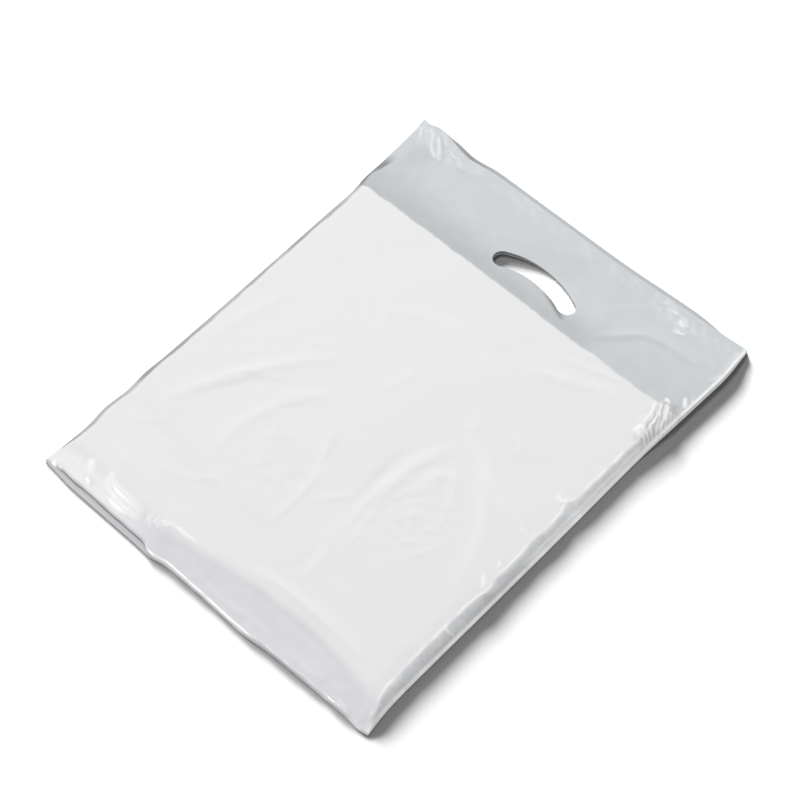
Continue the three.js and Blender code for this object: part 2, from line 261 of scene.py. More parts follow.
# Painted highlights: bright strokes where the film's sharp folds shine: points, then half breadth
GLINTS = [
    # the bottom band's left half
    ([(-159, -220), (-156, -226), (-150, -231)], 2.6),
    ([(-154, -223), (-152, -227), (-148, -232)], 1.6),
    ([(-137, -219), (-136, -225), (-132, -230)], 1.6),
    ([(-137, -220), (-130, -225), (-118, -227.5), (-104, -228), (-90, -227)], 1.6),
    ([(-135, -226), (-127, -231), (-114, -233.5), (-100, -234), (-88, -232)], 1.5),
    ([(-85, -224), (-82, -231)], 0.9),
    ([(-79, -222), (-76, -229)], 0.9),
    ([(-72, -221), (-69, -226)], 0.9),
    ([(-62, -221), (-55, -219), (-50, -221), (-42, -219.5), (-34, -220)], 1.1),
    # the fan beside the header's right end
    ([(164, 150), (170, 138), (172, 122)], 1.0),
    ([(169, 153), (176, 140), (180, 120)], 1.0),
    ([(175, 154), (182, 142), (186, 126)], 0.9),
    ([(173, 124), (172, 118), (172, 112)], 2.2),
    ([(170, 158), (173, 155)], 1.4),
    ([(181, 171), (184, 166), (187, 162)], 1.3),
    # beside the right slope
    ([(168, -79), (172, -84), (177, -90)], 0.9),
    ([(164, 20), (170, 18), (176, 22)], 0.8),
    ([(170, -60), (173, -66)], 0.8),
    ([(176, -136), (181, -138), (187, -136)], 0.8),
    # the mouth's right part
    ([(126, 236), (129, 232), (133, 229)], 1.0),
    ([(130, 224), (134, 221), (138, 224)], 1.0),
    ([(118, 240), (121, 237)], 0.8),
]
# Where painted shade lies under the handle hole, then where a painted shadow lies under the hole's
# lower lip
UNDER_HOLE = [(-14, 171), (6, 173), (24, 170), (44, 162)]
HOLE_LIP_SHADOW = [(16, 175), (28, 171.5), (38, 166.5), (50, 160)]

# The film's white, and tones and hues as shares of it, with painted highlights and painted shade
# among the tones
FILM_WHITE = 0.85
BRIGHTEST = 1.17
HIGHLIGHT_LINE_TONE = 1.16
BAND_END_LIGHT = 1.1
DOUBLE_AND_GLINT_TONE = 1.08
BAND_TONE = 0.885
FAN_TONE = 0.88
FAN_GAP_SHADE = 0.22
STRIP_TONE = 0.86
LIP_SHADE_TONE = 0.8
HEADER_TONE = 0.79
UNDER_HOLE_SHADE = 0.68
LEDGE_SHADOW_TONE = 0.66
MOUTH_SHADE_TONE = 0.66
LEFT_SLOPE_TONE = 0.32
HOLE_SHADOW_TONE = 0.2
FOLD_SHADING = 0.022
PLAIN = np.array([1.0, 1.0, 1.002])
COOL = np.array([0.962, 1.0, 1.028])
PLUM = np.array([1.0, 0.99, 1.04])
STEEL = np.array([0.985, 1.0, 1.025])
DUSKY = np.array([0.965, 0.96, 0.985])
GLOSS = 0.55

# The surface's mesh: how many columns and rows it has, where they lie closer together and by how
# much, and how many of them the back and the inside skip
FINE_COLUMNS = 241
FINE_ROWS = 304
CLOSER_COLUMNS = [(-200, -100, 0.5), (162, 200, 1.8)]
CLOSER_ROWS = [(-260, -212, 1.0), (100, 160, 0.7), (160, 260, 0.5)]
BACK_STEP = 3
INNER_STEP = 3
INNER_MARGIN = 2
PAST_MOUTH = 14
SHARP_ANGLE = math.radians(48)

# The stage and the camera
FLOOR_GREY = 0.135
FLOOR_REACH = 6000
WORLD_STRENGTH = 0.56
SUN_ANGLE = math.radians(20)
CAMERA_PLACE = (0.7491, -0.8308, 1.9312)
CAMERA_TARGET = (-0.00583, 0.00515, 0)
CAMERA_LENS = 114.08


def smooth(value, low, high):
    """Eases from 0 at low to 1 at high."""
    t = np.clip((value - low) / (high - low), 0, 1)
    return t * t * (3 - 2 * t)


def mix(a, b, share):
    return a + (b - a) * share


def soft_min(a, b, k):
    near = np.maximum(k - np.abs(a - b), 0) / k
    return np.minimum(a, b) - near * near * k / 4


def hump(value, middle, reach):
    """1 at the middle, eased to 0 at the reach on both sides."""
    return smooth(1 - np.abs(value - middle) / reach, 0, 1)


def bell(value, breadth):
    return np.exp(-((value / breadth) ** 2))


def spot(x, y, middle, reach):
    """A soft oval spot."""
    return np.exp(-(((x - middle[0]) / reach[0]) ** 2) - (((y - middle[1]) / reach[1]) ** 2))


def round_spot(x, y, middle_x, middle_y, reach):
    return np.exp(-((x - middle_x) ** 2 + (y - middle_y) ** 2) / reach**2)


def noise(x, y, size, seed, stretch=1.0, turn=0.0):
    """Smooth seeded noise from -1 to 1 with features of about the given size."""
    c, s = math.cos(turn), math.sin(turn)
    u = (x * c + y * s) / (size * stretch) + 128.37
    v = (y * c - x * s) / size + 128.71
    cells = np.random.default_rng(seed).uniform(-1, 1, (260, 260))
    iu, iv = np.floor(u).astype(int), np.floor(v).astype(int)
    fu, fv = u - iu, v - iv
    fu = fu * fu * fu * (fu * (fu * 6 - 15) + 10)
    fv = fv * fv * fv * (fv * (fv * 6 - 15) + 10)
    low = mix(cells[iu, iv], cells[iu + 1, iv], fu)
    high = mix(cells[iu, iv + 1], cells[iu + 1, iv + 1], fu)
    return mix(low, high, fv)


def stations(half, count, closer):
    """Places from -half to half, closer together where the second list says so."""
    t = np.linspace(-half, half, 2000)
    density = np.ones(t.shape)
    for low, high, more in closer:
        density += more * smooth(t, low - 8, low) * (1 - smooth(t, high, high + 8))
    total = np.cumsum(density)
    total = (total - total[0]) / (total[-1] - total[0])
    return np.interp(np.linspace(0, 1, count), total, t)


def bezier(a, b, c, count=12):
    t = np.linspace(0, 1, count + 1)[:, None]
    a, b, c = (np.array(p, float) for p in (a, b, c))
    return (1 - t) ** 2 * a + 2 * t * (1 - t) * b + t * t * c


def spline(points, per_span=6):
    """A smooth curve through the points."""
    p = np.array(points, float)
    p = np.vstack([2 * p[0] - p[1], p, 2 * p[-1] - p[-2]])
    t = np.linspace(0, 1, per_span, endpoint=False)[:, None]
    out = []
    for i in range(1, len(p) - 2):
        a, b, c, d = p[i - 1 : i + 3]
        bend = 2 * a - 5 * b + 4 * c - d
        twist = 3 * b - a - 3 * c + d
        out.append(0.5 * (2 * b + (c - a) * t + bend * t**2 + twist * t**3))
    return np.vstack([*out, p[-2:-1]])


def ridge(x, y, line, height, breadth):
    """A rounded ridge along a line, which fades out at its ends."""
    reach = 3 * breadth
    low, high = line.min(0) - reach, line.max(0) + reach
    near = (x > low[0]) & (x < high[0]) & (y > low[1]) & (y < high[1])
    px, py = x[near], y[near]
    best = np.full(px.shape, np.inf)
    along = np.zeros(px.shape)
    pieces = len(line) - 1
    for i in range(pieces):
        start, step = line[i], line[i + 1] - line[i]
        t = ((px - start[0]) * step[0] + (py - start[1]) * step[1]) / (step @ step)
        t = np.clip(t, 0, 1)
        away = (px - start[0] - t * step[0]) ** 2 + (py - start[1] - t * step[1]) ** 2
        closer = away < best
        best = np.where(closer, away, best)
        along = np.where(closer, (i + t) / pieces, along)
    out = np.zeros(x.shape)
    fade = np.sin(np.pi * np.clip(along, 0, 1)) ** 0.6
    out[near] = height * fade * np.exp(-best / breadth**2)
    return out


def edge_at(table, place):
    line = spline(table)
    return np.interp(place, line[:, 0], line[:, 1])


def outline_shift(x, y):
    """How the flat bag's point (x, y) moves when its edges take the drawn outline."""
    right = edge_at(RIGHT_EDGE, y) * smooth(x, 60, HALF_WIDTH)
    left = edge_at(LEFT_EDGE, y) * smooth(-x, 130, HALF_WIDTH)
    mouth = edge_at(MOUTH_EDGE, x) * smooth(y, HALF_LENGTH - EDGE_REACH, HALF_LENGTH)
    fold = edge_at(FOLD_EDGE, x) * smooth(-y, HALF_LENGTH - EDGE_REACH, HALF_LENGTH)
    return right - left, mouth - fold


def flat_place(x, y):
    """Back from a point of the drawn-in outline to the flat bag's own x and y."""
    flat_x, flat_y = x, y
    for _ in range(5):
        dx, dy = outline_shift(flat_x, flat_y)
        flat_x, flat_y = x - dx, y - dy
    return flat_x, flat_y


def bottom_fold(x):
    """The height of the bottom fold, which rises off the floor between the welds."""
    inside = smooth((HALF_WIDTH - np.abs(x)) / GUSSET_DEPTH, 0, 1)
    lifted = 1 + FOLD_LIFT * hump(x / HALF_WIDTH, 0.5, 0.37)
    return WELD_HEIGHT + (FOLD_HEIGHT - WELD_HEIGHT) * inside * lifted


def fold_inset(x):
    """How far the front panel's bottom fold stands back from the lower ply's."""
    left = LEDGE * smooth(-x, 62, 74) * smooth(HALF_WIDTH + x, 0, 22)
    return left + 0.6 + 0.4 * noise(x, x * 0, 12, 21)


def roll_drop(x):
    """How far the bottom fold's edge rolls down, less beside the welds and on the ledge."""
    return ROLL_DROP * smooth(x, -76, -62) * smooth(HALF_WIDTH - np.abs(x), 4, 16)


def weld_height(x, y):
    """The welds lie low, but the header's right one curls up off the floor."""
    curled = (x > 0) * smooth(y, 90, 150) * (1 - 0.5 * smooth(y, 225, 248))
    return WELD_HEIGHT + CURL * curled


def slope_width(x, y):
    left = LEFT_SLOPE * mix(0.4, 1, smooth(y + HALF_LENGTH, 0, 45))
    return np.where(x > 0, edge_at(RIGHT_SLOPE, y), left)


def panel_height(x, y):
    """The front panel without its folds: raised over the load and fallen in the header."""
    from_weld = HALF_WIDTH - np.abs(x)
    from_fold = np.maximum(y + HALF_LENGTH - fold_inset(x), 0)
    band = BOTTOM_BAND + BAND_SWELL * hump(x / HALF_WIDTH, 0.37, 0.78)
    fall = HEADER_FALL + HEADER_SAG * smooth(x / HALF_WIDTH, 0.44, 0.66)
    fallen = np.maximum(y - HEADER_LINE, 0) / fall
    level = mix(BODY_HEIGHT, MOUTH_HEIGHT, soft_min(fallen, 1, 0.5))
    settled = smooth(fallen, 0, 1)
    level = level - HOLE_SINK * spot(x, y, HOLE_SINK_MIDDLE, HOLE_SINK_REACH)
    span = mix(slope_width(x, y), HEADER_ROUND, settled)
    up = soft_min(soft_min(from_weld / span, from_fold / band, 0.25), 1, 0.25)
    share = np.clip(up, 0, 1)
    rounded = mix(share, 1 - (1 - share) ** 2, settled)
    base = mix(bottom_fold(x), weld_height(x, y), smooth(from_fold / GUSSET_DEPTH, 0, 1))
    return mix(base, level, rounded)


def fan_share(x, y):
    return smooth(x - 0.14 * (150 - y), 167, 173)


def pleats(x, y):
    """The fan of narrow folds beside the header's right end, from 0 to 1."""
    zone = smooth(y, 104, 113) * (1 - smooth(y, 146, 154)) * fan_share(x, y)
    across = 0.84 * x + 0.55 * y + 3.0 * noise(x, y, 12, 22) + 0.02 * (x - 180) * (y - 130)
    wave = 0.5 + 0.5 * np.cos(2 * np.pi * across / PLEAT_STEP)
    return zone * wave**1.5


def gathered(x, y):
    """The height of the small sharp folds alone."""
    total = np.zeros(x.shape)
    for points, height, breadth in GATHERS:
        total += ridge(x, y, spline(points), height, breadth)
    return total + PLEAT_HEIGHT * pleats(x, y)


def wrinkles(x, y):
    """Patches of short fine wrinkles between the broad folds."""
    total = np.zeros(x.shape)
    for middle_x, middle_y, reach, height in WRINKLE_PATCHES:
        total = np.maximum(total, height * round_spot(x, y, middle_x, middle_y, reach))
    waves = 1.2 * noise(x, y, 3.6, 43, 2.8, 0.73) + 0.5 * noise(x, y, 6.0, 44, 1.8, 0.2)
    return total * np.clip(waves, -0.9, 1.1)


def fold_height(x, y):
    total = np.zeros(x.shape)
    for *ends, height, breadth in MAIN_FOLDS:
        a, b, c = ((p[0] * BODY_WIDTH / 200, p[1] * HALF_LENGTH / 100) for p in ends)
        height, breadth = height * MAIN_FOLD_SCALE, breadth * MAIN_FOLD_BREADTH
        total += ridge(x, y, bezier(a, b, c), height, breadth)
    for points, height, breadth in FINE_FOLDS:
        height, breadth = height * FINE_FOLD_SCALE, breadth * FINE_FOLD_BREADTH
        total += ridge(x, y, spline(points), height, breadth)
    return total + wrinkles(x, y) + gathered(x, y)


def crinkle(x, y):
    """Small uneven waves of the film, stronger at the corners and the edges."""
    soft = 0.35 * noise(x, y, 34, 1, 1.8, 0.9) + 0.12 * noise(x, y, 13, 2, 2.2, 0.5)
    header = smooth(y, HEADER_LINE + 2, HEADER_LINE + 20)
    soft = soft + header * 0.22 * noise(x, y, 16, 3, 1.5, -0.6)
    waves = 0.45 * noise(x, y * 0.7, 9, 4) * bell(HALF_WIDTH - np.abs(x) - 9, 8)
    corner = np.zeros(x.shape)
    for middle_x, middle_y, reach, strength in CRUMPLED:
        corner = corner + strength * round_spot(x, y, middle_x, middle_y, reach)
    sharp = 1 - 2 * np.abs(noise(x, y, 7, 5, 1.6, -0.8))
    rim = bell(HALF_LENGTH - y, 6) * noise(x, y, 11, 6) * 0.35
    low = bell(y + HALF_LENGTH - 8, 8) * noise(x, y, 10, 7) * 0.4
    return soft + waves + 0.7 * corner * sharp + rim + low


def panel_point(x, y):
    """The front panel's outer face at (x, y) of the flat bag, with the outline drawn in."""
    from_weld = HALF_WIDTH - np.abs(x)
    z = panel_height(x, y) + (fold_height(x, y) + crinkle(x, y)) * smooth(from_weld, 0.5, 6)
    from_edge = (y + HALF_LENGTH - fold_inset(x)) / ROLL_BREADTH
    z = z - roll_drop(x) * np.clip(1 - from_edge, 0, 1) ** 2
    ledge = smooth(fold_inset(x) - (y + HALF_LENGTH), -0.5, 0.5)
    z = mix(z, LEDGE_HEIGHT, ledge * smooth(from_weld, 3, 8))
    dx, dy = outline_shift(x, y)
    return x + dx, y + dy, np.maximum(z, LEDGE_HEIGHT)


def new_object(name, points, faces):
    mesh = bpy.data.meshes.new(name)
    mesh.from_pydata((np.asarray(points) / MM).tolist(), [], faces)
    mesh.update()
    obj = bpy.data.objects.new(name, mesh)
    bpy.context.scene.collection.objects.link(obj)
    return obj


def grid_faces(rows, columns):
    r, c = np.meshgrid(np.arange(rows - 1), np.arange(columns - 1), indexing="ij")
    a = (r * columns + c).ravel()
    return np.stack([a, a + 1, a + columns + 1, a + columns], 1).tolist()


def rim_of(rows, columns):
    """The grid's outer points in order, as indices."""
    last_row = (rows - 1) * columns
    rim = list(range(columns - 1))
    rim += [r * columns + columns - 1 for r in range(rows - 1)]
    rim += [last_row + c for c in range(columns - 1, 0, -1)]
    rim += [r * columns for r in range(rows - 1, 0, -1)]
    return rim


def outer_solid(px, py, pz):
    """The whole outside: the front panel, a low wall round it and a gently waved back panel."""
    rows, columns = px.shape
    points = list(np.stack([px.ravel(), py.ravel(), pz.ravel()], 1))
    faces = grid_faces(rows, columns)
    rim = rim_of(rows, columns)
    back = {}
    for i in rim:
        back[i] = len(points)
        x, y, _ = points[i]
        if i >= (rows - 1) * columns:
            y += BACK_MOUTH_LEAD * smooth(HALF_WIDTH - abs(x), 0, 60)
        points.append(np.array([x, y, 0.0]))
    for i, j in zip(rim, rim[1:] + rim[:1]):
        faces.append([i, back[i], back[j], j])

    wave = 0.16 + 0.16 * noise(px, py, 22, 8, 2.0, 0.9)
    wave = wave * smooth(np.minimum(HALF_WIDTH - np.abs(px), HALF_LENGTH - np.abs(py)), 0, 20)
    for r in range(BACK_STEP, rows - 1, BACK_STEP):
        for c in range(BACK_STEP, columns - 1, BACK_STEP):
            back[r * columns + c] = len(points)
            points.append(np.array([px[r, c], py[r, c], wave[r, c]]))
    for r in range(0, rows - 1, BACK_STEP):
        for c in range(0, columns - 1, BACK_STEP):
            top, right = r + BACK_STEP, c + BACK_STEP
            loop = [(r, k) for k in range(c, right)]
            loop += [(k, right) for k in range(r, top)]
            loop += [(top, k) for k in range(right, c, -1)]
            loop += [(k, c) for k in range(top, r, -1)]
            ids = [back[a * columns + b] for a, b in loop if a * columns + b in back]
            faces.append(ids[::-1])
    return new_object("outside", points, faces)


def inner_solid(px, py, pz):
    """The space between the panels, open through the mouth."""
    rows, columns = pz.shape
    low = pz.copy()
    around = range(-INNER_MARGIN, INNER_MARGIN + 1)
    for dr in around:
        for dc in around:
            rr = np.clip(np.arange(rows) + dr, 0, rows - 1)
            cc = np.clip(np.arange(columns) + dc, 0, columns - 1)
            low = np.minimum(low, pz[np.ix_(rr, cc)])
    last_column = columns - INNER_MARGIN - 1
    r = np.r_[INNER_MARGIN : rows - 1 : INNER_STEP, rows - 1]
    c = np.arange(INNER_MARGIN, last_column + 1, INNER_STEP)
    if c[-1] != last_column:
        c = np.r_[c, last_column]
    at = np.ix_(r, c)
    gx, gy = px[at], py[at]
    gz = np.maximum(low[at] - FILM, 2 * FILM)
    gx = np.vstack([gx, gx[-1]])
    gy = np.vstack([gy, gy[-1] + PAST_MOUTH])
    gz = np.vstack([gz, gz[-1]])
    points = list(np.stack([gx.ravel(), gy.ravel(), gz.ravel()], 1))
    faces = grid_faces(*gx.shape)
    rim = rim_of(*gx.shape)
    first = len(points)
    for i in rim:
        points.append(np.array([points[i][0], points[i][1], FILM + 0.15]))
    for k, i in enumerate(rim):
        j = (k + 1) % len(rim)
        faces.append([i, first + k, first + j, rim[j]])
    faces.append([first + k for k in range(len(rim))][::-1])
    return new_object("inside", points, faces)


def solid_through(name, sections):
    """A closed solid through outlines that all have the same number of points."""
    size = len(sections[0])
    points = [p for s in sections for p in s]
    faces = []
    for s in range(len(sections) - 1):
        for i in range(size):
            a, b = s * size + i, s * size + (i + 1) % size
            faces.append([a, a + size, b + size, b])
    last = (len(sections) - 1) * size
    faces.append(list(range(size)))
    faces.append([last + i for i in range(size)][::-1])
    return new_object(name, points, faces)


def gusset(px, py):
    """The tucked plies, and the groove that they leave under the bottom fold."""
    plies, groove = [], []
    floor_of_groove = LEDGE_HEIGHT + 0.06
    least_groove = 0.15
    end = floor_of_groove + FILM / 3
    tops = bottom_fold(px[0]) - roll_drop(px[0]) - 1.2 * FILM
    for c in range(2, px.shape[1] - 2, 2):
        x, edge, top = px[0, c], py[0, c], tops[c]
        outside, inside = edge - 1, edge + GUSSET_DEPTH
        past = inside + FILM
        corners = [(outside, 0.1), (outside, top + 1.2 * FILM), (past, end + FILM), (past, 0.1)]
        plies.append([(x, v, w) for v, w in corners])
        if top > floor_of_groove + least_groove:
            corners = [(outside, floor_of_groove), (outside, top), (inside, end)]
            groove.append([(x, v, w) for v, w in corners])
    return solid_through("plies", plies), solid_through("groove", groove)


def handle_hole():
    """The cutter of the kidney-shaped hole."""
    half = HANDLE_WIDTH / 2
    ends = HANDLE_LENGTH / 2 - half
    radius = (ends**2 + HANDLE_RISE**2) / (2 * HANDLE_RISE)
    middle = HALF_LENGTH - HANDLE_TO_MOUTH - radius
    spread = math.asin(ends / radius)
    right, left = math.pi / 2 - spread, math.pi / 2 + spread

    def arc(cx, cy, r, start, stop, count):
        return [
            (cx + r * math.cos(a), cy + r * math.sin(a))
            for a in np.linspace(start, stop, count, endpoint=False)
        ]

    def end_at(angle):
        return HANDLE_SHIFT + radius * math.cos(angle), middle + radius * math.sin(angle)

    outline = arc(HANDLE_SHIFT, middle, radius + half, right, left, 40)
    outline += arc(*end_at(left), half, left, left + math.pi, 20)
    outline += arc(HANDLE_SHIFT, middle, radius - half, left, right, 36)
    outline += arc(*end_at(right), half, right + math.pi, right + 2 * math.pi, 20)
    count = len(outline)
    points = [(x, y, z) for z in (-10, 40) for x, y in outline]
    faces = [[i, (i + 1) % count, count + (i + 1) % count, count + i] for i in range(count)]
    faces.append(list(range(count))[::-1])
    faces.append([count + i for i in range(count)])
    return new_object("hole", points, faces)


def cut(obj, cutter):
    """Cuts one closed mesh out of another and drops the cutter."""
    modifier = obj.modifiers.new("cut", "BOOLEAN")
    modifier.operation = "DIFFERENCE"
    modifier.solver = "MANIFOLD"
    modifier.object = cutter
    graph = bpy.context.evaluated_depsgraph_get()
    made = bpy.data.meshes.new_from_object(obj.evaluated_get(graph))
    obj.modifiers.clear()
    obj.data = made
    bpy.data.objects.remove(cutter)


def paint(colour, share, tone, hue):
    """Lays a tone of a hue over the colour where the share says so."""
    return mix(colour, np.reshape(tone, (-1, 1)) * hue, np.reshape(share, (-1, 1)))


def header_tone_and_light(x, y):
    """The empty header, cool grey, with painted shade where it falls away beside the load, below
    the step and in the crumpled left corner, and mottled painted highlights along the mouth and
    the right weld.
    """
    # Painted shade where the header falls away beside the load, and below the step
    near_line = 1 - smooth(y, HEADER_LINE + 8, HEADER_LINE + 34 + 0.16 * np.abs(x))
    step = (y - 160) * 0.8
    below_step = smooth(x, 76 + step, 90 + step) * (1 - smooth(y, 198, 210))
    tone = HEADER_TONE + 0.012 * noise(x, y, 30, 16) + 0.014 * noise(x, y, 9, 17)
    tone = tone - 0.15 * near_line * (1 - 0.75 * smooth(x, 60, 110)) - 0.015 * below_step
    # Painted shade in the crumpled left corner
    tone = tone - 0.09 * spot(x, y, (-168, 212), (14, 18))
    # Painted highlights in mottled patches along the mouth and the right weld
    glint_patches = spot(x, y, (124, 234), (26, 11)) + spot(x, y, (-160, 232), (30, 12))
    glint_patches = glint_patches + 0.5 * smooth(y, 226, 240) + 0.6 * (1 - smooth(HALF_WIDTH - x, 4, 9))
    glint_patches = glint_patches * smooth(noise(x, y, 5, 25, 1.5, -0.9), -0.1, 0.5)
    tone = tone + 0.09 * np.clip(glint_patches, 0, 1)
    return tone[:, None] * COOL


def strip_tone(x, y):
    """The right slope, streaked along its length and darker beside the weld."""
    tone = STRIP_TONE + 0.05 * noise(x, y, 5, 19, 3.0, 1.57) + 0.06 * noise(x, y, 2.5, 20)
    tone = tone + 0.05 * smooth(y, -120, 40) + 0.1 * smooth(-y, 150, 205)
    return tone - 0.2 * (1 - smooth(HALF_WIDTH - x, 2, 8)) * smooth(-y, 0, 70)


def over_the_load(x, y, side):
    """Where the film lies on the load, from 0 to 1."""
    wobble = 1.2 * noise(x, x * 0, 14, 11) + 0.5 * noise(x, x * 0, 4, 12)
    line = HEADER_LINE + 2.0 + wobble
    share = 1 - smooth(y, line - 1.2, line + 1.2)
    return share * np.where(x > 0, smooth(HALF_WIDTH - x, side - 0.8, side + 0.8), 1)


def paint_band(colour, x, y, in_strip):
    """The bottom band, which turns as white as the body on its left, where painted light lifts it
    against the slope's shade.
    """
    from_fold = y + HALF_LENGTH
    tone = BAND_TONE + 0.02 * noise(x, y, 24, 18) + 0.012 * noise(x, y, 6, 29)
    tone = tone + 0.025 * smooth(x, 60, 140)
    hue = mix(PLUM, PLAIN, smooth(-x, 84, 120)[:, None])
    # Painted light on the band's left end
    tone = mix(tone, BAND_END_LIGHT, smooth(-x, 60, 124))
    edge = 24 + 12 * hump(x / HALF_WIDTH, 0.37, 0.8) + 1.5 * noise(x, x * 0, 20, 28)
    share = 1 - smooth(from_fold, edge - 6, edge + 3)
    return paint(colour, share * (1 - in_strip * smooth(from_fold, 6, 12)), tone, hue)


def paint_marks(colour, x, y):
    """Painted shade between the fan's narrow folds and under the handle hole, a painted shadow
    under the hole's lip, painted light and shade on the folds, and whiter film with painted
    highlights on the small folds.
    """
    # Painted shade between the fan's narrow folds
    fan = smooth(y, 104, 113) * (1 - smooth(y, 150, 162)) * fan_share(x, y)
    fan_tone = FAN_TONE - FAN_GAP_SHADE * (1 - pleats(x, y)) + 0.08 * noise(x, y, 4, 42)
    colour = paint(colour, fan, fan_tone, PLAIN)
    # Painted shade under the handle hole
    under_hole_shade = ridge(x, y, spline(UNDER_HOLE), 0.8, 6) * (1 + 0.6 * noise(x, y, 4, 45))
    colour = paint(colour, under_hole_shade, UNDER_HOLE_SHADE, PLAIN)
    # Painted shadow under the handle hole's lower lip
    colour = paint(colour, ridge(x, y, spline(HOLE_LIP_SHADOW), 1, 2.4), HOLE_SHADOW_TONE, PLAIN)
    small = gathered(x, y)
    # Painted light on the broad folds' ridges and painted shade in their valleys
    broad = np.clip(fold_height(x, y) - small, -1.5, 2)
    colour = colour * (1 + FOLD_SHADING * broad)[:, None]
    # Whiter where the film lies double on the small folds, with painted highlights
    double_and_glint_tone = DOUBLE_AND_GLINT_TONE - 0.1 * smooth(y, 158, 166)
    return paint(colour, 0.85 * smooth(small, 0.35, 0.95), double_and_glint_tone, PLAIN)


def highlight_lines(x, y, side):
    """Painted highlights: the lines that shine along the right slope, the right weld and the
    bottom fold.
    """
    level = x * 0
    from_right, from_fold = HALF_WIDTH - x, y + HALF_LENGTH
    rim = bell(from_right - side - 1.2, 1.2) * (y < 116) * (from_fold > 14)
    rim = rim * smooth(noise(level, y, 10, 26), -0.7, 0.5)
    weld = bell(from_right - 1.2, 1.3) * (1 + 0.35 * noise(level, y, 6, 30))
    beside = smooth(y, -60, -20) * (1 - smooth(y, 100, 116))
    second = bell(from_right - 5 - 0.6 * noise(level, y, 12, 31), 0.9) * beside
    lip = bell(from_fold - fold_inset(x) - 1.4, 1.3)
    lip = lip * smooth(x, -74, -64) * (0.25 + 0.75 * (1 - smooth(x, 40, 70)))
    return np.clip(rim + weld + 0.7 * second + lip, 0, 1)


def glints(x, y):
    # Painted highlights along the glint strokes
    total = x * 0
    for points, breadth in GLINTS:
        total = np.maximum(total, ridge(x, y, spline(points), 1.3, breadth))
    return np.clip(total, 0, 1)


def left_shade(x, y):
    """Painted shade on the left slope, whose breadth and depth change along it."""
    level = x * 0
    narrow = bell(y - 166, 20)
    breadth = (LEFT_SLOPE - 1.5) * (1 - 0.6 * narrow) + 1.6 * noise(level, y, 11, 27)
    depth = 0.72 + 0.3 * noise(level, y, 19, 32) + 0.3 * narrow - 0.25 * hump(y, 125, 26)
    share = 1 - smooth(HALF_WIDTH + x, breadth - 1.2, breadth + 0.8)
    share = share * np.clip(depth, 0.3, 1)
    return share * (1 - smooth(y, 184, 200)) * smooth(y + HALF_LENGTH, 13, 26)


def paint_low_parts(colour, x, y, z):
    """Painted shade on the bottom fold's left lip, the ledge under it grey as the lower ply and
    with a painted shadow, and painted shade on the inside of the mouth.
    """
    from_fold = y + HALF_LENGTH
    # Painted shade along the bottom fold's left lip
    lip = bell(from_fold - fold_inset(x) - 0.6, 1.3) * smooth(-x, 68, 78)
    colour = paint(colour, 0.9 * lip, LIP_SHADE_TONE, PLAIN)
    # The ledge: the lower ply's grey with a painted shadow
    ledge = (from_fold < fold_inset(x) + 0.3) & (z < LEDGE_HEIGHT + 0.5) & (z > 0.9)
    colour = paint(colour, 0.9 * ledge, LEDGE_SHADOW_TONE, PLUM)
    # Painted shade on the inside of the mouth, deepest near its left corner
    within = (z < 0.9) & (z > 0.3)
    return paint(colour, within, MOUTH_SHADE_TONE - 0.3 * hump(x, -140, 34), COOL)


def film_colour_and_light(x, y, z):
    """The film's colour with painted light: white over the load, cooler and greyer where it is
    empty, and painted highlights and painted shade laid over it.
    """
    x, y = flat_place(x, y)
    from_right = HALF_WIDTH - x
    side = slope_width(x, y) + 0.8 + 0.5 * noise(x * 0, y, 5, 14)
    in_strip = (1 - smooth(from_right, side - 0.6, side + 0.6)) * (1 - smooth(y, 112, 124))
    in_strip = in_strip * (x > 0)
    on_load = over_the_load(x, y, side)
    beside_slope = (1 - smooth(from_right - side, 6, 18)) * (1 - smooth(y, -110, -20)) * (x > 0)

    colour = header_tone_and_light(x, y)
    colour = paint(colour, in_strip, strip_tone(x, y), STEEL)
    colour = paint(colour, on_load, 1, PLAIN)
    colour = paint(colour, on_load * beside_slope, 1, colour * DUSKY)
    colour = paint_band(colour, x, y, in_strip)
    colour = paint_marks(colour, x, y)
    colour = paint(colour, highlight_lines(x, y, side), HIGHLIGHT_LINE_TONE, PLAIN)
    colour = paint(colour, glints(x, y), BRIGHTEST, PLAIN)
    colour = paint(colour, left_shade(x, y), LEFT_SLOPE_TONE, PLAIN)
    colour = paint_low_parts(colour, x, y, z)
    colour = FILM_WHITE * np.clip(colour, 0, BRIGHTEST)
    return np.hstack([colour, np.ones((len(x), 1))])


def film_shine(x, y):
    """How glossy the film is: dull on the fold's left half, where the photo has no bright line."""
    x, y = flat_place(x, y)
    from_lip = np.abs(y + HALF_LENGTH - fold_inset(x))
    dull = (1 - smooth(from_lip, 1.5, 3.5)) * smooth(-x, 66, 76) * (x > -174)
    return GLOSS * (1 - dull)


def attribute_node(nodes, name):
    node = nodes.new("ShaderNodeAttribute")
    node.attribute_name = name
    return node


def noise_node(nodes, links, place, scale, detail, distortion):
    node = nodes.new("ShaderNodeTexNoise")
    node.inputs["Scale"].default_value = scale
    node.inputs["Detail"].default_value = detail
    node.inputs["Distortion"].default_value = distortion
    links.new(place.outputs["Object"], node.inputs["Vector"])
    return node


def bump_node(nodes, links, height, strength, distance):
    node = nodes.new("ShaderNodeBump")
    node.inputs["Strength"].default_value = strength
    node.inputs["Distance"].default_value = distance
    links.new(height.outputs["Fac"], node.inputs["Height"])
    return node


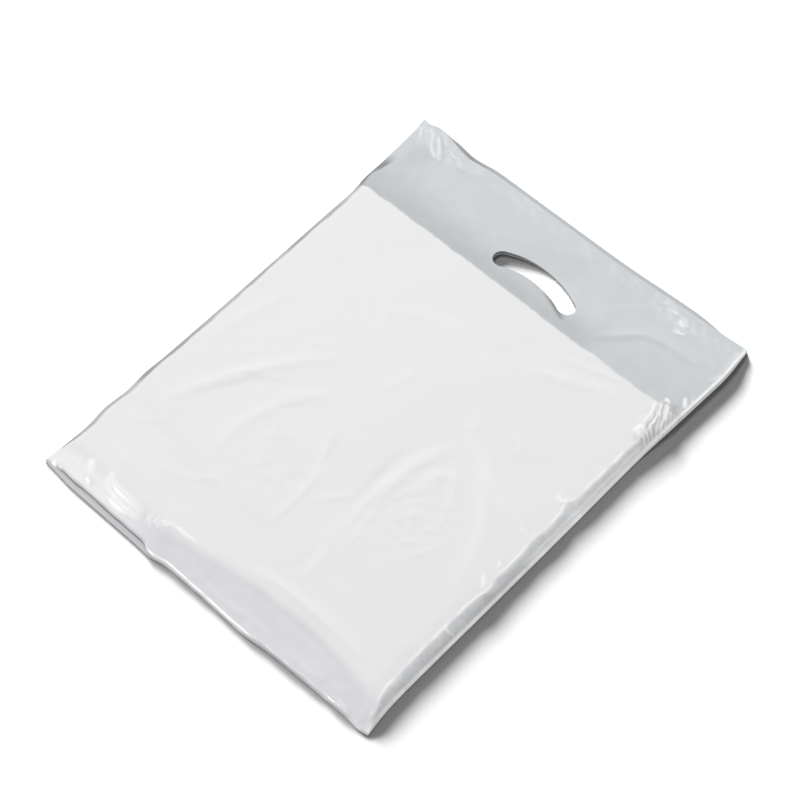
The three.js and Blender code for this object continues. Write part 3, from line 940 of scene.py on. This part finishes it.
def film_material():
    mat = bpy.data.materials.new("white_film")
    mat.use_nodes = True
    nodes, links = mat.node_tree.nodes, mat.node_tree.links
    shader = nodes["Principled BSDF"]
    shader.inputs["IOR"].default_value = 1.5
    shader.inputs["Coat Roughness"].default_value = 0.08
    # The film's colour with painted highlights and painted shade
    colour_and_light = attribute_node(nodes, "film_colour_and_light")
    links.new(colour_and_light.outputs["Color"], shader.inputs["Base Color"])
    shine = attribute_node(nodes, "film_shine")
    links.new(shine.outputs["Fac"], shader.inputs["Coat Weight"])
    links.new(shine.outputs["Fac"], shader.inputs["Specular IOR Level"])

    place = nodes.new("ShaderNodeTexCoord")
    fine = noise_node(nodes, links, place, scale=260, detail=3, distortion=0)
    crease = noise_node(nodes, links, place, scale=60, detail=4, distortion=1.2)
    rough = nodes.new("ShaderNodeMapRange")
    rough.inputs["To Min"].default_value = 0.26
    rough.inputs["To Max"].default_value = 0.46
    links.new(crease.outputs["Fac"], rough.inputs["Value"])
    links.new(rough.outputs["Result"], shader.inputs["Roughness"])
    fine_bump = bump_node(nodes, links, fine, strength=0.12, distance=0.0004)
    crease_bump = bump_node(nodes, links, crease, strength=0.25, distance=0.0008)
    links.new(fine_bump.outputs["Normal"], crease_bump.inputs["Normal"])
    links.new(crease_bump.outputs["Normal"], shader.inputs["Normal"])
    return mat


def floor_material():
    mat = bpy.data.materials.new("pale_floor")
    mat.use_nodes = True
    shader = mat.node_tree.nodes["Principled BSDF"]
    shader.inputs["Base Color"].default_value = (FLOOR_GREY, FLOOR_GREY, FLOOR_GREY, 1)
    shader.inputs["Roughness"].default_value = 0.9
    shader.inputs["Specular IOR Level"].default_value = 0.1
    return mat


def aim(obj, target):
    direction = Vector(target) - obj.location
    obj.rotation_euler = direction.to_track_quat("-Z", "Y").to_euler()


def new_light(name, kind, place, energy):
    """A light that looks at the bag's middle."""
    data = bpy.data.lights.new(name, kind)
    data.energy = energy
    obj = bpy.data.objects.new(name, data)
    obj.location = place
    bpy.context.scene.collection.objects.link(obj)
    aim(obj, (0, 0, 0))
    return obj


def area_light(name, direction, distance, size, energy):
    obj = new_light(name, "AREA", Vector(direction).normalized() * distance, energy)
    obj.data.size = size
    return obj


def low_sun(name, direction, energy, receivers):
    """A sun that lights the floor alone, so that the bag's shadow falls as the photo's does."""
    obj = new_light(name, "SUN", direction, energy)
    obj.data.angle = SUN_ANGLE
    obj.light_linking.receiver_collection = receivers


# The bag
columns = stations(HALF_WIDTH, FINE_COLUMNS, CLOSER_COLUMNS)
rows = stations(HALF_LENGTH, FINE_ROWS, CLOSER_ROWS)
panel = panel_point(*np.meshgrid(columns, rows))

bag = outer_solid(*panel)
inside = inner_solid(*panel)
plies, groove = gusset(*panel[:2])
cut(inside, plies)
cut(bag, inside)
cut(bag, groove)
cut(bag, handle_hole())
bag.name = "bag_film"
bag.data.name = "bag_film"

places = np.zeros(len(bag.data.vertices) * 3)
bag.data.vertices.foreach_get("co", places)
places = places.reshape(-1, 3) * MM
# The film's colour, with painted highlights and painted shade, on every point
colour_and_light = bag.data.attributes.new("film_colour_and_light", "FLOAT_COLOR", "POINT")
colour_and_light.data.foreach_set("color", film_colour_and_light(*places.T).astype(np.float32).ravel())
shine = bag.data.attributes.new("film_shine", "FLOAT", "POINT")
shine.data.foreach_set("value", film_shine(places[:, 0], places[:, 1]).astype(np.float32))
bag.data.materials.clear()
bag.data.materials.append(film_material())
bag.data.polygons.foreach_set("use_smooth", [True] * len(bag.data.polygons))
bag.data.polygons.foreach_set("material_index", [0] * len(bag.data.polygons))
bag.data.set_sharp_from_angle(angle=SHARP_ANGLE)
bag.data.update()
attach(bag, "root")
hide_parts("bag")

# The floor
corners = [(-1, -1, 0), (1, -1, 0), (1, 1, 0), (-1, 1, 0)]
floor = new_object("floor", np.array(corners) * FLOOR_REACH, [[0, 1, 2, 3]])
floor.data.materials.append(floor_material())
floor.visible_diffuse = False
floor.visible_glossy = False

# The light
world = bpy.data.worlds.new("studio")
bpy.context.scene.world = world
world.use_nodes = True
background = world.node_tree.nodes["Background"]
background.inputs["Color"].default_value = (1, 1, 1, 1)
background.inputs["Strength"].default_value = WORLD_STRENGTH
key = area_light("key", (-0.42, 0.25, 0.87), distance=4.2, size=1.45, energy=88)
key.visible_glossy = False
gloss = area_light("gloss", (-0.405, -0.773, 0.485), distance=2.4, size=0.6, energy=30)
gloss.visible_diffuse = False

lit = bpy.data.collections.new("lit_by_low_suns")
lit.objects.link(floor)
low_sun("low_sun", (-0.78, 0.54, 0.29), energy=62, receivers=lit)
low_sun("side_sun", (-0.94, 0.1, 0.3), energy=18, receivers=lit)

scene = bpy.context.scene
scene.view_settings.view_transform = "Standard"
scene.view_settings.look = "None"

# The camera
camera_data = bpy.data.cameras.new("camera")
camera_data.sensor_width = 36
camera_data.lens = CAMERA_LENS
camera = bpy.data.objects.new("camera", camera_data)
camera.location = CAMERA_PLACE
scene.collection.objects.link(camera)
aim(camera, CAMERA_TARGET)
scene.camera = camera
